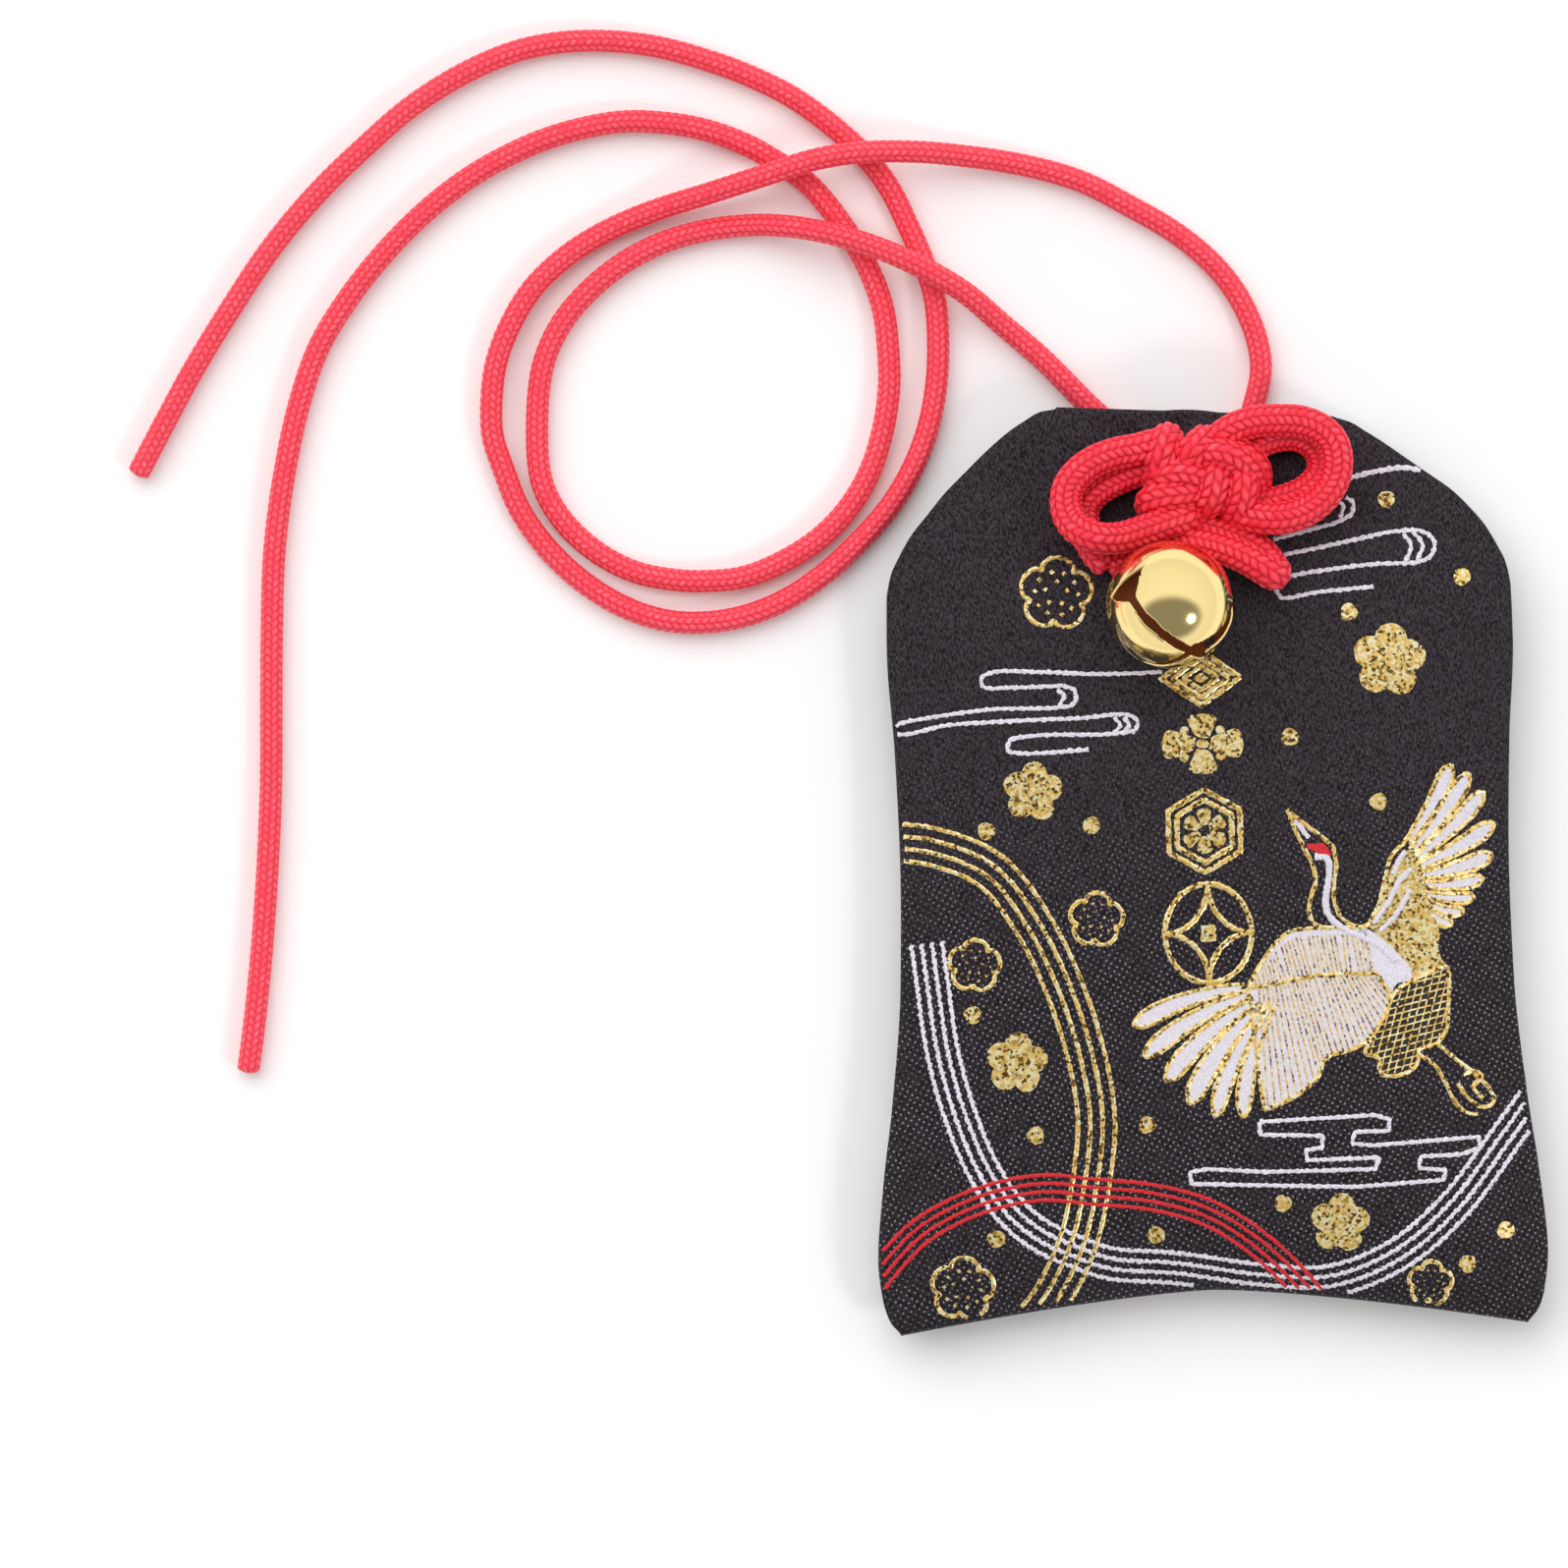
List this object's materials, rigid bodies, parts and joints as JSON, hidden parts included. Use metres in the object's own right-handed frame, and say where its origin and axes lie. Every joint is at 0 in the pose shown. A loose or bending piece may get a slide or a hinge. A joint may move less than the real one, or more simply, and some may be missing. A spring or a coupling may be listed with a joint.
{
  "type": "omamori charm",
  "caption": "Padded brocade amulet pouch with a knotted cord bow, a small jingle bell and a hanging cord.",
  "frame": {"origin": "centre of the flat patch under the pouch's back, on the surface that the charm lies on", "axes": "+Z out of the pouch's front face, +Y towards the pouch's mouth and bow, +X to the right seen from the front"},
  "size_m": [0.1286, 0.1202, 0.02],
  "materials": {
    "brocade": "black satin-twill brocade with small white specks, woven gold, white and red figures",
    "bow_cord": "3 mm braided polyester cord, crimson, soft sheen",
    "hanging_cord": "2.1 mm herringbone-braided polyester cord, light red, soft sheen",
    "seam_thread": "black sewing thread",
    "wadding": "white polyester wadding",
    "card": "brown pasteboard",
    "paper": "white folded paper",
    "wood": "thin unvarnished cypress tablet",
    "gilt_brass": "polished gold-plated brass",
    "steel": "plain steel ball"
  },
  "bodies": {
    "charm": {"brocade_pouch": "brocade", "padding_front": "wadding", "padding_back": "wadding", "stiffener_card": "card", "amulet_tablet": "wood", "amulet_wrapper": "paper", "side_seam_left": "seam_thread", "side_seam_right": "seam_thread", "bow_loop_left_outer": "bow_cord", "bow_loop_left_inner": "bow_cord", "bow_tail_loop": "bow_cord", "bow_loop_right_outer": "bow_cord", "bow_loop_right_inner": "bow_cord", "bow_knot_top": "bow_cord", "bow_knot_left": "bow_cord", "bow_knot_bottom": "bow_cord", "bow_knot_right": "bow_cord", "hanging_cord_stopper": "hanging_cord", "hanging_cord_neck_left": "hanging_cord", "hanging_cord_neck_right": "hanging_cord", "hanging_cord_left": "hanging_cord", "hanging_cord_right": "hanging_cord"},
    "bell_hanger": {"bell_strand": "bow_cord"},
    "bell": {"bell_shell": "gilt_brass", "bell_eye": "gilt_brass"},
    "pellet": {"bell_pellet": "steel"}
  },
  "joints": [
    {"name": "bell_lift", "type": "hinge", "parent": "charm", "child": "bell_hanger", "pos_m": [-0.0058, 0.031, 0.0123], "axis": [-0.9511, -0.309, 0], "range_deg": [0, 80]},
    {"name": "bell_sway", "type": "hinge", "parent": "bell_hanger", "child": "bell", "pos_m": [-0.0045, 0.0289, 0.0094], "axis": [0, 0, 1], "range_deg": [-15, 8]},
    {"name": "pellet_rattle", "type": "slide", "parent": "bell", "child": "pellet", "axis": [0, 0, 1], "range_m": [0, 0.007]}
  ]
}
